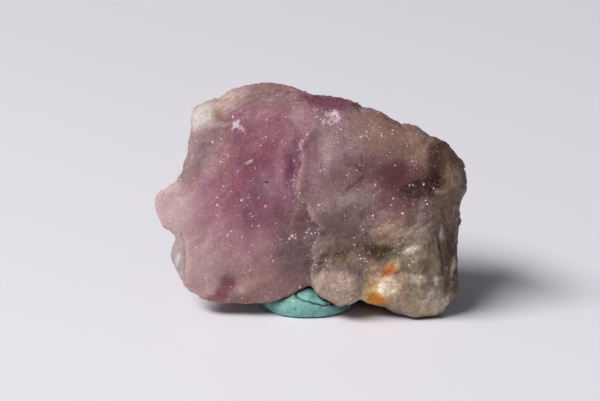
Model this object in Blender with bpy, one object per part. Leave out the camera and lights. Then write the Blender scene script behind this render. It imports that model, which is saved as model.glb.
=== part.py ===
"""Raw hackmanite leaning back on a pinched pad of mounting putty.

The stone is worked out in its own upright frame, in millimetres: X to the right across its main face, Y into the
stone and Z up. It is then leaned back onto the pad, and the whole stands on Z = 0, in metres."""

import math

import bmesh
import bpy
import numpy as np
from mathutils import Matrix, Vector, noise

MM = 0.001

# The stone as it stands: its lean and the core that its surface is measured from
LEAN = math.radians(18.0)
CORE = (0.0, 0.0, 10.5)
SPHERE_STEPS = 7
FARTHEST = 21.0
HALVINGS = 14
STONE_TRIANGLES = 8200
# How far the corners round off where front, back and outline meet, and where the flat faces meet
EDGE_ROUNDING = 0.8
FACE_ROUNDING = 0.9

# The stone's outline, seen square to its main face, from the tip of the left spur and clockwise
OUTLINE = [
    (-16.0, 9.6), (-15.9, 10.6), (-15.1, 11.5), (-13.4, 12.5), (-12.8, 13.2), (-12.75, 14.3), (-12.2, 15.0),
    (-12.2, 16.0), (-11.7, 17.4), (-11.7, 18.4), (-11.3, 19.4), (-10.6, 20.1), (-9.2, 20.6), (-7.8, 21.4),
    (-6.4, 22.0), (-4.7, 22.3), (-3.0, 22.1), (-1.9, 21.8), (-0.9, 21.3), (0.1, 20.95), (2.4, 20.95),
    (3.9, 20.5), (4.95, 19.55), (5.65, 19.8), (7.3, 19.35), (7.8, 18.75), (9.4, 18.2), (10.7, 17.9),
    (11.8, 16.85), (13.4, 16.4), (14.1, 16.0), (15.1, 14.4), (15.6, 12.6), (15.4, 11.4), (14.8, 10.0),
    (14.85, 7.8), (14.45, 5.8), (14.85, 3.6), (14.7, 1.0), (14.1, -0.7), (13.3, -1.2), (9.3, -1.05), (7.7, -0.45),
    (5.7, 0.2), (4.8, 0.55), (3.8, 0.15), (2.9, 0.1), (1.0, 0.9), (-0.1, 1.75), (-1.6, 1.3), (-3.0, 0.65),
    (-4.8, 0.1), (-8.0, -0.3), (-9.5, -0.4), (-12.0, 0.7), (-12.9, 1.7), (-12.8, 2.9), (-12.4, 4.4),
    (-12.7, 6.2), (-13.7, 7.0), (-15.0, 7.8), (-15.7, 8.6),
]
# The outline is the stone's widest girth, which slants back as it rises; in front of it the stone draws in
GIRTH_DEPTH = -3.4
GIRTH_SLANT = 0.12
TAPER_FRONT = 0.022
# Away from the girth the outline's small notches die out, and it draws in to this rougher shape at the back
NOTCH_REACH_FRONT = 6.0
NOTCH_REACH_BACK = 3.0
NOTCH_STEP = 0.35
BACK_DEPTH = 7.6
BACK_REACH = 1.4
BACK_OUTLINE = [
    (-10.2, 8.2), (-10.6, 12.4), (-8.4, 16.4), (-4.2, 18.6), (1.4, 17.4), (6.4, 16.6), (9.6, 13.8),
    (12.2, 9.6), (12.8, 2.0), (11.6, -2.6), (8.8, -2.6), (5.4, 1.2), (-3.4, 2.0), (-8.4, 3.4),
]

# The ledge down the main face, where the right block stands proud of the violet face
LEDGE = [
    (0.1, 1.7), (0.1, 3.0), (0.3, 4.4), (0.2, 5.7), (0.6, 6.7), (0.9, 7.8), (0.2, 8.5), (-0.3, 9.4),
    (-0.6, 10.1), (-1.3, 10.9), (-1.5, 11.6), (-1.2, 12.8), (-0.9, 14.0), (-0.9, 15.2), (-1.2, 15.6), (-0.9, 16.4),
]
LEDGE_HEIGHT = 0.75
LEDGE_WIDTH = 0.45
LEDGE_TOP = 16.0
LEDGE_FADE = 2.8

# Flat faces as (x, depth, z) of a point on the face, then how the depth grows along x and along z
FRONT_FACES = [
    (0.0, -5.8, 11.0, -0.05, 0.02),
    (-9.2, -5.5, 9.0, -0.16, 0.03),
    (-12.0, -5.0, 9.0, -0.25, 0.05),
    (-10.4, -5.2, 15.8, -0.60, 0.25),
    (-9.0, -5.0, 0.9, -0.20, -0.60),
    (-1.0, -4.7, 1.2, 0.00, -0.32),
    (11.7, -6.2, 13.0, 0.55, 0.08),
    (10.0, -6.3, 4.2, 0.25, -0.40),
    (-6.0, -5.2, 20.9, -0.30, 1.10),
    (2.5, -5.0, 19.2, 0.10, 1.15),
    (9.5, -5.9, 17.6, 0.30, 0.85),
]
BACK_FACES = [
    (0.0, 7.6, 11.0, 0.10, -0.12),
    (0.0, 6.8, 15.4, 0.08, -0.90),
    (-7.2, 6.2, 10.0, 0.90, 0.10),
    (9.6, 7.0, 9.0, -1.10, -0.15),
    (-1.0, 0.2, 0.6, 0.25, 1.75),
    (9.5, 5.8, 2.6, -0.50, 0.95),
    (-6.0, 5.2, 5.4, 0.35, 0.80),
]

# Lumps and hollows on the main face: (x, z, half width, half height, turn in degrees, height, flat share).
# They fade out where the surface turns away from the viewer
RELIEF_FACING = 0.3
RELIEF = [
    (-1.8, 13.6, 1.2, 3.2, 0.0, -0.45, 0.0),
    (-3.4, 7.0, 3.5, 5.5, 18.0, -0.35, 0.0),
    (-7.5, 13.5, 3.6, 4.4, 0.0, 0.40, 0.0),
    (-12.0, 8.8, 2.6, 2.2, 0.0, 0.30, 0.2),
    (-10.6, 14.6, 1.6, 2.0, 20.0, -0.35, 0.1),
    (-7.6, 2.2, 1.9, 1.3, 0.0, -0.40, 0.1),
    (6.4, 15.4, 4.2, 2.8, -22.0, 0.45, 0.3),
    (3.0, 12.2, 2.2, 2.6, 0.0, -0.25, 0.0),
    (10.2, 11.9, 4.4, 3.2, 16.0, -0.80, 0.0),
    (12.4, 13.4, 1.5, 3.0, 4.0, -0.35, 0.0),
    (14.3, 12.4, 1.6, 1.9, 10.0, 0.45, 0.2),
    (7.6, 8.3, 3.6, 1.4, 24.0, 0.50, 0.4),
    (5.2, 5.9, 5.2, 2.3, -4.0, -0.60, 0.1),
    (10.9, 6.9, 1.9, 1.3, 40.0, 0.40, 0.4),
    (2.7, 2.0, 3.2, 2.7, 0.0, 0.90, 0.45),
    (8.2, 2.3, 1.8, 2.6, -24.0, 0.80, 0.5),
    (11.5, 3.6, 2.3, 3.6, 8.0, 0.60, 0.5),
    (13.5, 5.4, 1.2, 4.4, 6.0, -0.45, 0.0),
]

# The pale knob at the upper left and the clear grain in the left edge: (x, depth, z, three half sizes)
KNOBS = [
    (-10.0, -3.2, 18.1, 1.05, 1.6, 1.30),
    (-12.6, -3.0, 4.8, 1.40, 1.5, 2.10),
]

# Flat chips and shallow scoops off the back and its edges, which leave the girth and this far behind it alone
KEPT_DEPTH = 1.0
CHIPS = 30
CHIP_DEPTH = (0.4, 1.8)
SCOOPS = 10
SCOOP_DEPTH = (0.4, 0.9)
SCOOP_RADIUS = (8.0, 16.0)
CHIP_SEED = 11
# How far chips lean to the back, and the least that a ray may face a chip to meet it
CHIP_LEAN = 0.6
GRAZING = 0.05

# Broken-surface roughness: (wavelength, height)
ROUGHNESS = [(4.6, 0.26), (2.1, 0.17), (1.1, 0.09)]

# The putty pad, a ball pinched flat between the stone and the table
PAD_CENTRE = (-0.3, 1.0)
PAD_RADIUS = (5.25, 5.4)
PAD_HEIGHT = 3.6
PAD_BASE_SHARE = 0.90
PAD_SIDE_POWER = 0.8
PAD_WOBBLE = (0.025, 0.015)
PAD_SEGMENTS = (48, 22)
PAD_GAP = 0.3


def smooth_max(a, b, radius):
    """The larger of two distances, with the corner between them rounded to about this radius."""
    near = np.maximum(radius - np.abs(a - b), 0.0)
    return np.maximum(a, b) + near**2 / (4.0 * radius)


def ease(t):
    t = np.clip(t, 0.0, 1.0)
    return t * t * (3.0 - 2.0 * t)


def outline_distance(corners, x, z):
    """How far each point is outside a closed outline, negative inside it."""
    corners = np.array(corners)
    nearest = np.full(x.shape, np.inf)
    inside = np.zeros(x.shape, bool)
    for (x0, z0), (x1, z1) in zip(corners, np.roll(corners, -1, axis=0)):
        side = (x1 - x0, z1 - z0)
        along = np.clip(((x - x0) * side[0] + (z - z0) * side[1]) / (side[0] ** 2 + side[1] ** 2), 0.0, 1.0)
        nearest = np.minimum(nearest, np.hypot(x - x0 - along * side[0], z - z0 - along * side[1]))
        if z0 != z1:
            crosses = (z0 > z) != (z1 > z)
            inside ^= crosses & (x < x0 + (z - z0) * side[0] / side[1])
    return np.where(inside, -nearest, nearest)


def plane_depth(face, x, z):
    x0, depth, z0, along_x, along_z = face
    return depth + along_x * (x - x0) + along_z * (z - z0)


def front_depth(x, z):
    depth = plane_depth(FRONT_FACES[0], x, z)
    for face in FRONT_FACES[1:]:
        depth = smooth_max(depth, plane_depth(face, x, z), FACE_ROUNDING)
    return depth


def back_depth(x, z):
    depth = plane_depth(BACK_FACES[0], x, z)
    for face in BACK_FACES[1:]:
        depth = -smooth_max(-depth, -plane_depth(face, x, z), FACE_ROUNDING)
    return depth


def girth_distance(x, y, z):
    """How far each point is outside the outline as it is at that depth."""
    behind = y - GIRTH_DEPTH - GIRTH_SLANT * (z - CORE[2])
    sharp = outline_distance(OUTLINE, x, z)
    front_blunt = np.maximum(sharp, outline_distance(OUTLINE[::2], x, z))
    back_blunt = np.maximum(sharp, outline_distance(OUTLINE[::5], x, z) + NOTCH_STEP)
    worn = ease(-behind / NOTCH_REACH_FRONT) * (front_blunt - sharp)
    worn += ease(behind / NOTCH_REACH_BACK) * (back_blunt - sharp)
    backed = np.clip(behind / (BACK_DEPTH - GIRTH_DEPTH), 0.0, BACK_REACH)
    shape = sharp + worn + TAPER_FRONT * np.minimum(behind, 0.0) ** 2
    return shape + backed * (outline_distance(BACK_OUTLINE, x, z) - shape)


def outside(points):
    """Above 0 outside the stone and below 0 inside it, in about millimetres."""
    x, y, z = points.T
    slab = smooth_max(front_depth(x, z) - y, y - back_depth(x, z), EDGE_ROUNDING)
    girth = girth_distance(x, y, z)
    solid = smooth_max(slab, girth, EDGE_ROUNDING)
    for x0, y0, z0, half_x, half_y, half_z in KNOBS:
        span = np.sqrt(((x - x0) / half_x) ** 2 + ((y - y0) / half_y) ** 2 + ((z - z0) / half_z) ** 2)
        knob = (span - 1.0) * min(half_x, half_y, half_z)
        solid = -smooth_max(-solid, -knob, FACE_ROUNDING)
    floor = y * math.sin(LEAN) - z * math.cos(LEAN)
    return np.maximum(solid, floor)


def reach_along(directions):
    """How far the surface is from the core along each direction, halved down between the core and the farthest."""
    low, high = np.zeros(len(directions)), np.full(len(directions), FARTHEST)
    for _ in range(HALVINGS):
        middle = 0.5 * (low + high)
        out = outside(np.array(CORE) + directions * middle[:, None]) > 0.0
        low, high = np.where(out, low, middle), np.where(out, middle, high)
    return low


def cut_by_plane(directions, normal, top):
    """How far each ray may go before it meets the plane whose highest kept level along its normal is top."""
    facing = directions @ normal
    reach = (top - np.array(CORE) @ normal) / np.maximum(facing, GRAZING)
    return np.where(facing > GRAZING, reach, np.inf)


def cut_by_ball(directions, centre, radius):
    """How far each ray may go before it enters a ball that lies outside the core."""
    offset = np.array(CORE) - centre
    along = directions @ offset
    root = along**2 - (offset @ offset - radius**2)
    return np.where((root > 0.0) & (along < 0.0), -along - np.sqrt(np.maximum(root, 0.0)), np.inf)


def chip_back(directions, reach):
    """Random chips off the back, each taking the highest point along its normal down, but never the girth."""
    draw = np.random.default_rng(CHIP_SEED)
    for number in range(CHIPS + SCOOPS):
        normal = draw.normal(size=3)
        normal[1] = abs(normal[1]) + CHIP_LEAN
        normal /= np.linalg.norm(normal)
        points = np.array(CORE) + directions * reach[:, None]
        kept = points[points[:, 1] < GIRTH_DEPTH + GIRTH_SLANT * (points[:, 2] - CORE[2]) + KEPT_DEPTH]
        heights = points @ normal
        depth = draw.uniform(*CHIP_DEPTH)
        if number < CHIPS:
            limit = cut_by_plane(directions, normal, max(heights.max() - depth, (kept @ normal).max()))
            reach = np.minimum(reach, limit)
            continue
        radius = draw.uniform(*SCOOP_RADIUS)
        centre = points[heights.argmax()] + normal * (radius - draw.uniform(*SCOOP_DEPTH))
        if np.linalg.norm(kept - centre, axis=1).min() > radius:
            reach = np.minimum(reach, cut_by_ball(directions, centre, radius))
    return reach


def relief_height(x, z):
    """How far the main face stands out towards the viewer: the ledge's right block, then the lumps and hollows."""
    line = np.array(LEDGE)
    beyond = x - np.interp(z, line[:, 1], line[:, 0])
    width = LEDGE_WIDTH + LEDGE_FADE * ease((z - LEDGE_TOP) / LEDGE_FADE)
    height = LEDGE_HEIGHT * ease(0.5 + beyond / width)
    for x0, z0, half_width, half_height, turn, lump, flat in RELIEF:
        c, s = math.cos(math.radians(turn)), math.sin(math.radians(turn))
        across = ((x - x0) * c + (z - z0) * s) / half_width
        up = ((z - z0) * c - (x - x0) * s) / half_height
        height = height + lump * ease((1.0 - np.hypot(across, up)) / (1.0 - flat))
    return height


def roughness_at(point):
    """Broken-surface noise of several wavelengths."""
    return sum(height * noise.noise(point / wavelength) for wavelength, height in ROUGHNESS)


def material(name, colour, roughness):
    made = bpy.data.materials.new(name)
    made.use_nodes = True
    shader = made.node_tree.nodes["Principled BSDF"]
    shader.inputs["Base Color"].default_value = (*colour, 1.0)
    shader.inputs["Roughness"].default_value = roughness
    shader.inputs["Metallic"].default_value = 0.0
    return made


def add_object(name, mesh, finish, collection):
    made = bpy.data.objects.new(name, mesh)
    mesh.materials.append(finish)
    collection.objects.link(made)
    return made


def make_stone(collection):
    """The stone: a sphere of points drawn in to the stone's faces, given its relief, then thinned where it is flat."""
    shape = bmesh.new()
    bmesh.ops.create_icosphere(shape, subdivisions=SPHERE_STEPS, radius=1.0)
    directions = np.array([vertex.co.normalized() for vertex in shape.verts])
    reach = chip_back(directions, reach_along(directions))
    spots = np.array(CORE) + directions * reach[:, None]
    for vertex, spot in zip(shape.verts, spots):
        vertex.co = spot
    shape.normal_update()
    normals = np.array([vertex.normal for vertex in shape.verts])
    spots[:, 1] -= relief_height(spots[:, 0], spots[:, 2]) * ease((-normals[:, 1] - RELIEF_FACING) / RELIEF_FACING)
    lean = Matrix.Rotation(-LEAN, 4, "X")
    for vertex, spot in zip(shape.verts, spots):
        spot = Vector(spot)
        vertex.co = lean @ (spot + vertex.normal * roughness_at(spot))
        vertex.co.z = max(vertex.co.z, 0.0)
    triangles = len(shape.faces)
    bmesh.ops.scale(shape, vec=(MM, MM, MM), verts=shape.verts)
    mesh = bpy.data.meshes.new("hackmanite")
    shape.to_mesh(mesh)
    shape.free()
    stone = add_object("hackmanite", mesh, material("violet sodalite", (0.36, 0.20, 0.22), 0.45), collection)
    thinned = stone.modifiers.new("thinned", "DECIMATE")
    thinned.ratio = STONE_TRIANGLES / triangles
    return stone


def make_print(stone, collection):
    """The stone grown by the gap all round, which presses its print into the putty."""
    cutter = stone.copy()
    cutter.name = "stone_print"
    collection.objects.link(cutter)
    grown = cutter.modifiers.new("gap", "DISPLACE")
    grown.strength = PAD_GAP * MM
    grown.mid_level = 0.0
    cutter.hide_render = True
    cutter.display_type = "WIRE"
    return cutter


def make_pad(cutter, collection):
    """The putty: a ball flattened to a thick disc with a rounded rim and a flat base, with the stone's print in it."""
    shape = bmesh.new()
    bmesh.ops.create_uvsphere(shape, u_segments=PAD_SEGMENTS[0], v_segments=PAD_SEGMENTS[1], radius=1.0)
    base = -math.sqrt(1.0 - PAD_BASE_SHARE**2)
    for vertex in shape.verts:
        x, y, z = vertex.co
        around = math.atan2(y, x)
        wobble = 1.0 + PAD_WOBBLE[0] * math.sin(3.0 * around + 0.6) + PAD_WOBBLE[1] * math.sin(5.0 * around)
        level = (max(z, base) - base) / (1.0 - base)
        across = math.hypot(x, y)
        if z > base:
            across = min(1.0, across) ** PAD_SIDE_POWER
        vertex.co.x = PAD_CENTRE[0] + PAD_RADIUS[0] * wobble * across * math.cos(around)
        vertex.co.y = PAD_CENTRE[1] + PAD_RADIUS[1] * wobble * across * math.sin(around)
        vertex.co.z = PAD_HEIGHT * level
    bmesh.ops.scale(shape, vec=(MM, MM, MM), verts=shape.verts)
    mesh = bpy.data.meshes.new("putty_pad")
    shape.to_mesh(mesh)
    shape.free()
    pad = add_object("putty_pad", mesh, material("green mounting putty", (0.18, 0.40, 0.35), 0.75), collection)
    pressed = pad.modifiers.new("print", "BOOLEAN")
    pressed.operation = "DIFFERENCE"
    pressed.object = cutter
    return pad


def centre_on_stone(stone, pad):
    """Moves both meshes so that the middle of the stone's box is at X = Y = 0."""
    corners = np.array(stone.evaluated_get(bpy.context.evaluated_depsgraph_get()).bound_box)
    middle = (corners.min(axis=0) + corners.max(axis=0)) / 2.0
    for part in (stone, pad):
        part.data.transform(Matrix.Translation((-middle[0], -middle[1], 0.0)))


def main():
    for old in list(bpy.data.objects):
        bpy.data.objects.remove(old)
    specimen = bpy.data.collections.new("raw_hackmanite")
    cutters = bpy.data.collections.new("cutters")
    for collection in (specimen, cutters):
        bpy.context.scene.collection.children.link(collection)
    stone = make_stone(specimen)
    pad = make_pad(make_print(stone, cutters), specimen)
    centre_on_stone(stone, pad)


main()
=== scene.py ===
import math

import bmesh
import bpy
import numpy as np
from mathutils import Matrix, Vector, kdtree, noise


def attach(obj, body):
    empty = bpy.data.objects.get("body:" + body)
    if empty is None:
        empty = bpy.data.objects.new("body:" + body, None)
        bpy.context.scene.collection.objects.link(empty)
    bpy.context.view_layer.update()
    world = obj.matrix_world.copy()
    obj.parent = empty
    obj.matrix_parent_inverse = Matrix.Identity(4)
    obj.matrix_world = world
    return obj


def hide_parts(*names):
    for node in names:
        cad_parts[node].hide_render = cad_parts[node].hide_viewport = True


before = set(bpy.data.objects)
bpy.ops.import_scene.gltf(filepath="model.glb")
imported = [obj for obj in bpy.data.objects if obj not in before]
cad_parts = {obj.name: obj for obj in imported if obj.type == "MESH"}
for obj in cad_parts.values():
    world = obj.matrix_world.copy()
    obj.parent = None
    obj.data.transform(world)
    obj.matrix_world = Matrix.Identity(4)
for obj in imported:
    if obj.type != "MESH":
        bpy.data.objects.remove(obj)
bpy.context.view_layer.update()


# The stone: one broken piece of hackmanite, a violet sodalite grown through with pale and brownish feldspar.
# It broke free by itself, so its skin is rough: a ledge, grain, fine striae on the rim, cracks and ridges.
# Its main form is the CAD solid's, and it leans back on the putty that holds it.

# Places on it are in its own upright frame, in millimetres: x across the main face, y into the stone, z up.
# The fine skin's facets are evened out in rounds of a pull in and a push out, so that it keeps its size.
MM = 0.001
LEAN = math.radians(18.0)
STONE_ORIGIN = (-0.025, -2.266)
SKIN_VOXEL = 0.158
SKIN_SMOOTHING = 12
PULL_AND_PUSH = (0.5, -0.52)
FACE_DEPTH = -6.2

# How far a surface turns towards the viewer before it counts as the face, and how soon it counts in full
FACE_TURN = (0.15, 0.35)

# Broken chips, flat crystals, cleavage steps and sugary grains: cell size, how far a cell's face tilts, and
# how far cells differ in height. Soft waves between them: wavelength and height.
CHIPS = (2.7, 0.04, 0.04)
FLATS = (1.5, 0.07, 0.04)
STEPS = (0.95, 0.03, 0.014)
GRAINS = (0.42, 0.06, 0.010)
SKIN_NOISE = [(1.9, 0.05), (0.6, 0.012)]
SKIN_SEED = 5

# How strong the relief is on the back, how much calmer it is on the face and on two parts of it, and how much
# more the bulge has of steps and grains
BACK_RELIEF = 1.4
FACE_CALM = 0.4
VIOLET_CALM = 0.72
BLOCK_CALM = 0.55
BULGE_STEPS = 0.5
BULGE_GRAINS = 1.2

# Parts of the face as ovals: place, half sizes, turn and how soft the edge is. The striae of the rim start
# above its foot, the flank starts at its edge, and the flank's and the foot's relief fade towards the back.
VIOLET_FACE = (-7.0, 11.0, 8.6, 10.5, 0.0, 0.4)
BLOCK_FACE = (5.0, 13.5, 7.0, 6.0, -12.0, 0.4)
BULGE_FACE = (2.8, 2.4, 3.4, 2.8, 0.0, 0.4)
FOOT_FACE = (10.8, 3.0, 4.6, 5.2, 0.0, 0.4)
RIM_FACE = (-5.6, 20.4, 5.4, 2.2, 12.0, 0.5)
RIM_FOOT = 18.6
FLANK_EDGE = 11.3
FLANK_FADE = 1.4
FLANK_BACK = 7.0
FLANK_SHARE = 0.7
FOOT_BACK = 8.0
FADE_TO_BACK = 4.0

# Lines that the break left, as (x, z) points, and how wide and deep each is: a crack over the right foot, the
# seam of the grain in the left edge, and cracks in the foot
CRACKS = [
    ([(11.6, 8.4), (10.4, 7.4), (9.4, 6.5), (8.6, 5.2), (8.3, 4.2), (7.5, 3.4), (6.9, 2.6)], 0.18, 0.12),
    ([(-13.0, 7.1), (-12.5, 6.2), (-12.4, 4.6), (-12.6, 3.4), (-12.3, 2.4)], 0.20, 0.16),
    ([(12.6, 7.4), (12.9, 5.6), (13.1, 3.8), (13.5, 2.4), (13.4, 0.9)], 0.24, 0.22),
    ([(10.2, 3.3), (11.0, 2.6), (11.6, 1.4), (11.9, 0.2)], 0.18, 0.12),
    ([(9.0, 3.8), (9.5, 2.7), (9.2, 1.2), (8.2, 0.1)], 0.17, 0.12),
]

# Small pits above the stained crystal and the bulge, and how far each reaches and how deep it is
PITS = [(6.6, 5.4), (7.0, 4.9), (6.2, 4.1), (5.9, 4.7), (6.8, 3.6), (7.3, 5.6), (3.4, 4.6)]
PIT_REACH = 0.16
PIT_DEPTH = 0.22

# The ledge down the middle of the face, sharp up to its top and a change of colour above, and its jags as
# wavelength and reach. Its sharp edge stands out over a soft slope, and the hollow beside it is part filled.
LEDGE = [
    (0.1, 1.7), (0.1, 3.0), (0.3, 4.4), (0.2, 5.7), (0.6, 6.7), (0.9, 7.8), (0.2, 8.5), (-0.3, 9.4),
    (-0.6, 10.1), (-1.3, 10.9), (-1.5, 11.6), (-1.2, 12.8), (-0.9, 14.0), (-0.9, 15.2), (-1.2, 15.6),
    (-0.9, 16.4), (-0.1, 17.3), (0.9, 18.2), (2.6, 19.2), (4.6, 20.4),
]
LEDGE_TOP = 16.2
LEDGE_TOP_FADE = 2.5
LEDGE_JAGS = [(0.9, 0.22), (0.35, 0.16)]
LEDGE_SHARP = 0.16
LEDGE_SOFT = 0.8
LEDGE_CREST = 0.16
LEDGE_HOLLOW = (-1.9, 14.0, 1.1, 2.6, 0.0, 1.4)
LEDGE_FILL = 0.40

# Where the stone sinks into the putty: how far, and the middle, half width and top of the place
STONE_SINK = 0.14
PRINT_MIDDLE = -0.4
PRINT_HALF = 5.8
PRINT_TOP = 2.2

# Crystals that stand out of the face: place, half sizes, turn and height
RAISED_CRYSTALS = [
    (7.75, 1.9, 1.20, 1.35, -20.0, 0.12), (9.9, 5.5, 0.75, 0.35, 25.0, 0.20),
    (11.4, 4.0, 1.6, 1.2, 20.0, 0.16), (10.9, 0.9, 1.0, 0.8, 0.0, 0.14),
    (8.8, 6.9, 1.5, 0.8, 28.0, 0.14), (-13.25, 4.9, 0.6, 1.9, 6.0, 0.06),
    (14.5, 12.9, 0.6, 1.3, 0.0, 0.12), (-7.24, 17.61, 0.85, 0.22, -44.0, 0.07),
    (-7.52, 17.83, 0.65, 0.26, 50.0, 0.07),
]

# Small swells and hollows of the stone's outline: place, half sizes and height
OUTLINE_SWELLS = [
    (15.6, 10.0, 1.6, 4.6, -0.24), (7.0, 19.8, 1.8, 0.9, -0.18), (2.5, 21.2, 3.2, 0.8, -0.14),
    (10.6, 18.2, 1.5, 0.8, -0.20), (-7.6, 21.4, 2.6, 1.0, 0.20), (-13.2, 13.6, 1.0, 1.6, -0.22),
    (12.9, 16.8, 1.2, 0.8, 0.18),
]

# Striae that follow the rim at the top left, upright ridges on the lower right flank, how far the lines and
# cracks wander, and how near the table the relief dies out
STRIA_CENTRE = (-2.0, 11.0)
STRIA_SPACING = 0.50
STRIA_DEPTH = 0.03
RIDGE_SPACING = 0.85
RIDGE_DEPTH = 0.09
RIDGE_TOP = 9.5
RIDGE_TOP_FADE = 3.0
WANDER_SIZE = 1.6
WANDER_REACH = 0.35
FLOOR_FADE = 0.5


def ease(t):
    t = np.clip(t, 0.0, 1.0)
    return t * t * (3.0 - 2.0 * t)


def to_stone(points):
    """From the part's frame in metres to the stone's own frame in millimetres."""
    x, y, z = (np.asarray(points, float) / MM).T
    x, y = x - STONE_ORIGIN[0], y - STONE_ORIGIN[1]
    return np.array([x, y * math.cos(LEAN) - z * math.sin(LEAN), y * math.sin(LEAN) + z * math.cos(LEAN)])


def patch(x, z, x0, z0, half_x, half_z, turn, soft):
    """1 inside an oval on the main face and 0 outside it, fading across its edge."""
    c, s = math.cos(math.radians(turn)), math.sin(math.radians(turn))
    across = ((x - x0) * c + (z - z0) * s) / half_x
    up = ((z - z0) * c - (x - x0) * s) / half_z
    return ease((1.0 - np.hypot(across, up)) / soft + 0.5)


def line_distance(points, x, z):
    """How far each place is from a line of straight runs."""
    nearest = np.full(x.shape, np.inf)
    for (x0, z0), (x1, z1) in zip(points, points[1:]):
        side = (x1 - x0, z1 - z0)
        along = np.clip(((x - x0) * side[0] + (z - z0) * side[1]) / (side[0] ** 2 + side[1] ** 2), 0.0, 1.0)
        nearest = np.minimum(nearest, np.hypot(x - x0 - along * side[0], z - z0 - along * side[1]))
    return nearest


def noise_at(places, wavelength, shift=0.0):
    """Smooth noise between about -1 and 1 at each place, in millimetres."""
    return np.array([noise.noise(Vector(p) / wavelength + Vector((shift, 0.0, 0.0))) for p in places])


def cells_at(places, size, tilt, step, seed, blunt):
    """Heights of a skin of flat tilted cells scattered over the surface. Blunt cells meet in creases and
    the others end in small steps, as cleavage does."""
    draw = np.random.default_rng(seed)
    count = int(len(places) * (SKIN_VOXEL / size) ** 2)
    chosen = draw.choice(len(places), count, replace=False)
    centres = places[chosen] + draw.normal(0.0, 0.2 * size, (count, 3))
    tilts = draw.normal(0.0, tilt, (count, 3))
    steps = draw.uniform(-step, step, count)
    tree = kdtree.KDTree(count)
    for number, centre in enumerate(centres):
        tree.insert(centre, number)
    tree.balance()
    reach = 3 if blunt else 1
    near = np.array([[found[1] for found in tree.find_n(p, reach)] for p in places])
    away = places[:, None, :] - centres[near]
    heights = (steps[near] + (away * tilts[near]).sum(axis=2)).max(axis=1)
    return heights - heights.mean()


def new_piece(name, mesh):
    piece = bpy.data.objects.new(name, mesh)
    bpy.context.scene.collection.objects.link(piece)
    return piece


def welded_copy(node, name):
    """A new piece with a CAD node's mesh, its loose triangles joined."""
    work = bmesh.new()
    work.from_mesh(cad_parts[node].data)
    bmesh.ops.remove_doubles(work, verts=work.verts, dist=1e-6)
    mesh = bpy.data.meshes.new(name)
    work.to_mesh(mesh)
    work.free()
    return new_piece(name, mesh)


def refine(piece, voxel, rounds):
    """Lays an even fine mesh over the solid and evens out its facets without shrinking it."""
    fine = piece.modifiers.new("fine", "REMESH")
    fine.mode = "VOXEL"
    fine.voxel_size = voxel * MM
    graph = bpy.context.evaluated_depsgraph_get()
    mesh = bpy.data.meshes.new_from_object(piece.evaluated_get(graph), depsgraph=graph)
    piece.modifiers.clear()
    piece.data = mesh
    ends = np.zeros(len(mesh.edges) * 2, int)
    mesh.edges.foreach_get("vertices", ends)
    ends = ends.reshape(-1, 2)
    start, stop = np.concatenate([ends[:, 0], ends[:, 1]]), np.concatenate([ends[:, 1], ends[:, 0]])
    neighbours = np.bincount(start, minlength=len(mesh.vertices))
    places = np.zeros(len(mesh.vertices) * 3)
    mesh.vertices.foreach_get("co", places)
    places = places.reshape(-1, 3)
    for factor in PULL_AND_PUSH * rounds:
        sums = [np.bincount(start, places[stop, axis], len(places)) for axis in range(3)]
        places += factor * (np.array(sums).T / neighbours[:, None] - places)
    mesh.vertices.foreach_set("co", places.ravel())
    mesh.update()
    mesh.shade_smooth()


def mesh_arrays(mesh):
    places = np.zeros(len(mesh.vertices) * 3)
    mesh.vertices.foreach_get("co", places)
    normals = np.array([normal.vector for normal in mesh.vertex_normals])
    return places.reshape(-1, 3), normals


stone = welded_copy("hackmanite", "hackmanite_skin")
refine(stone, SKIN_VOXEL, SKIN_SMOOTHING)
places, normals = mesh_arrays(stone.data)
x, y, z = to_stone(places)
in_stone = np.array([x, y, z]).T
towards_viewer = -normals[:, 1] * math.cos(LEAN) + normals[:, 2] * math.sin(LEAN)
facing = ease((towards_viewer - FACE_TURN[0]) / FACE_TURN[1])

ledge_line = np.array(LEDGE)
ledge_jags = sum(reach * noise_at(in_stone, wavelength, 3.0) for wavelength, reach in LEDGE_JAGS)
right_of_ledge = x - np.interp(z, ledge_line[:, 1], ledge_line[:, 0])
jagged_ledge = right_of_ledge + ledge_jags
above_ledge = ease((z - LEDGE_TOP) / LEDGE_TOP_FADE)
bulge = facing * patch(x, z, *BULGE_FACE)
flank = ease((x - FLANK_EDGE) / FLANK_FADE) * ease((FLANK_BACK - y) / FADE_TO_BACK)
foot_and_flank = np.maximum(patch(x, z, *FOOT_FACE), FLANK_SHARE * flank)
crystalline = foot_and_flank * ease((FOOT_BACK - y) / FADE_TO_BACK)
relief = BACK_RELIEF - FACE_CALM * facing
relief = relief - VIOLET_CALM * (facing * patch(x, z, *VIOLET_FACE))
relief = relief - BLOCK_CALM * (facing * patch(x, z, *BLOCK_FACE))

lift = cells_at(in_stone, *CHIPS, SKIN_SEED, True) * relief
lift += cells_at(in_stone, *FLATS, SKIN_SEED + 1, True) * crystalline
lift += cells_at(in_stone, *STEPS, SKIN_SEED + 2, False) * relief * (1.0 + BULGE_STEPS * bulge)
lift += cells_at(in_stone, *GRAINS, SKIN_SEED + 3, False) * (relief + BULGE_GRAINS * bulge)
for wavelength, height in SKIN_NOISE:
    lift += height * noise_at(in_stone, wavelength)
for x0, z0, half_x, half_z, height in OUTLINE_SWELLS:
    lift += height * patch(x, z, x0, z0, half_x, half_z, 0.0, 1.0)

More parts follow.
